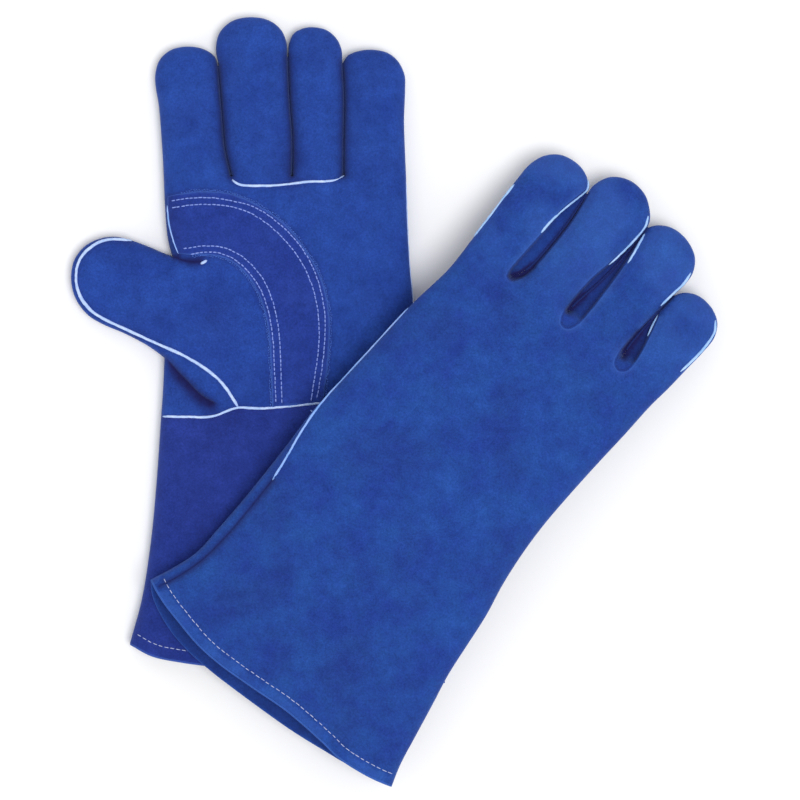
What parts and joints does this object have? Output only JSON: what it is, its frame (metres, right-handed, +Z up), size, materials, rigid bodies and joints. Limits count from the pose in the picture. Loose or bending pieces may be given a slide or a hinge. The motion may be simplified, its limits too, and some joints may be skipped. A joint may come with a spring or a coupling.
{
  "type": "welding gloves",
  "caption": "Pair of blue suede gauntlet welding gloves with white seam welts, one lying palm up, the other crossed over it back up.",
  "frame": {"origin": "on the ground, at the centre of the pair's bounding box seen from above", "axes": "+Z up from the ground, +Y towards the fingertips of the left glove, +X towards the fingertips' side of the right glove"},
  "size_m": [0.3598, 0.4309, 0.0575],
  "materials": {
    "suede": "blue split suede, matt",
    "strap_suede": "blue split suede, matt",
    "welting": "white welt leather, satin",
    "thread": "pale sewing thread",
    "fleece": "off-white cotton fleece"
  },
  "bodies": {
    "left_hand": {"left_back_panel": "suede", "left_cuff_panel": "suede", "left_finger_root_welt": "welting", "left_hem_stitching": "thread", "left_lining": "fleece", "left_little_side_welt": "welting", "left_palm_panel": "suede", "left_strap_stitching": "thread", "left_thumb_side_welt": "welting", "left_thumb_strap": "strap_suede", "left_wrist_welt": "welting"},
    "left_index": {"left_index_front": "suede", "left_index_back": "suede", "left_index_fourchette": "suede", "left_index_welt": "welting"},
    "left_middle": {"left_middle_front": "suede", "left_middle_back": "suede", "left_middle_fourchette": "suede", "left_middle_welt": "welting"},
    "left_ring": {"left_ring_front": "suede", "left_ring_back": "suede", "left_ring_fourchette": "suede", "left_ring_welt": "welting"},
    "left_little": {"left_little_front": "suede", "left_little_back": "suede", "left_little_fourchette": "suede", "left_little_welt": "welting"},
    "left_thumb": {"left_thumb_front": "suede", "left_thumb_back": "suede", "left_thumb_welt": "welting"},
    "right_hand": {"right_back_panel": "suede", "right_cuff_panel": "suede", "right_finger_root_welt": "welting", "right_hem_stitching": "thread", "right_lining": "fleece", "right_little_side_welt": "welting", "right_palm_panel": "suede", "right_strap_stitching": "thread", "right_thumb_side_welt": "welting", "right_thumb_strap": "strap_suede", "right_wrist_welt": "welting"},
    "right_index": {"right_index_front": "suede", "right_index_back": "suede", "right_index_fourchette": "suede", "right_index_welt": "welting"},
    "right_middle": {"right_middle_front": "suede", "right_middle_back": "suede", "right_middle_fourchette": "suede", "right_middle_welt": "welting"},
    "right_ring": {"right_ring_front": "suede", "right_ring_back": "suede", "right_ring_fourchette": "suede", "right_ring_welt": "welting"},
    "right_little": {"right_little_front": "suede", "right_little_back": "suede", "right_little_fourchette": "suede", "right_little_welt": "welting"},
    "right_thumb": {"right_thumb_front": "suede", "right_thumb_back": "suede", "right_thumb_welt": "welting"}
  },
  "joints": [
    {"name": "left_index_flex", "type": "hinge", "parent": "left_hand", "child": "left_index", "pos_m": [-0.1103, 0.1265, 0.0205], "axis": [1, 0, 0], "range_deg": [0, 80]},
    {"name": "left_middle_flex", "type": "hinge", "parent": "left_hand", "child": "left_middle", "pos_m": [-0.0748, 0.1265, 0.0205], "axis": [1, 0, 0], "range_deg": [0, 80]},
    {"name": "left_ring_flex", "type": "hinge", "parent": "left_hand", "child": "left_ring", "pos_m": [-0.0434, 0.1265, 0.0205], "axis": [1, 0, 0], "range_deg": [0, 80]},
    {"name": "left_little_flex", "type": "hinge", "parent": "left_hand", "child": "left_little", "pos_m": [-0.0112, 0.1265, 0.0205], "axis": [1, 0, 0], "range_deg": [0, 80]},
    {"name": "right_index_flex", "type": "hinge", "parent": "right_hand", "child": "right_index", "pos_m": [0.05223, 0.07822, 0.03011], "axis": [-0.7813, 0.6215, 0.0579], "range_deg": [0, 80]},
    {"name": "right_middle_flex", "type": "hinge", "parent": "right_hand", "child": "right_middle", "pos_m": [0.08001, 0.05612, 0.02805], "axis": [-0.7813, 0.6215, 0.0579], "range_deg": [0, 80]},
    {"name": "right_ring_flex", "type": "hinge", "parent": "right_hand", "child": "right_ring", "pos_m": [0.11077, 0.03166, 0.02577], "axis": [-0.7813, 0.6215, 0.0579], "range_deg": [0, 80]},
    {"name": "right_little_flex", "type": "hinge", "parent": "right_hand", "child": "right_little", "pos_m": [0.13738, 0.01049, 0.0238], "axis": [-0.7813, 0.6215, 0.0579], "range_deg": [0, 80]},
    {"name": "left_thumb_flex", "type": "hinge", "parent": "left_hand", "child": "left_thumb", "pos_m": [-0.1247, 0.05275, 0.0205], "axis": [0.0986, 0.9951, 0], "range_deg": [0, 100]},
    {"name": "right_thumb_spread", "type": "hinge", "parent": "right_hand", "child": "right_thumb", "pos_m": [-0.01001, -0.00644, 0.02737], "axis": [0.0779, 0.0018, 0.997], "range_deg": [0, 30]},
    {"name": "right_glove_lift", "type": "slide", "parent": "left_hand", "child": "right_hand", "axis": [0, 0, 1], "range_m": [0, 0.15]}
  ]
}
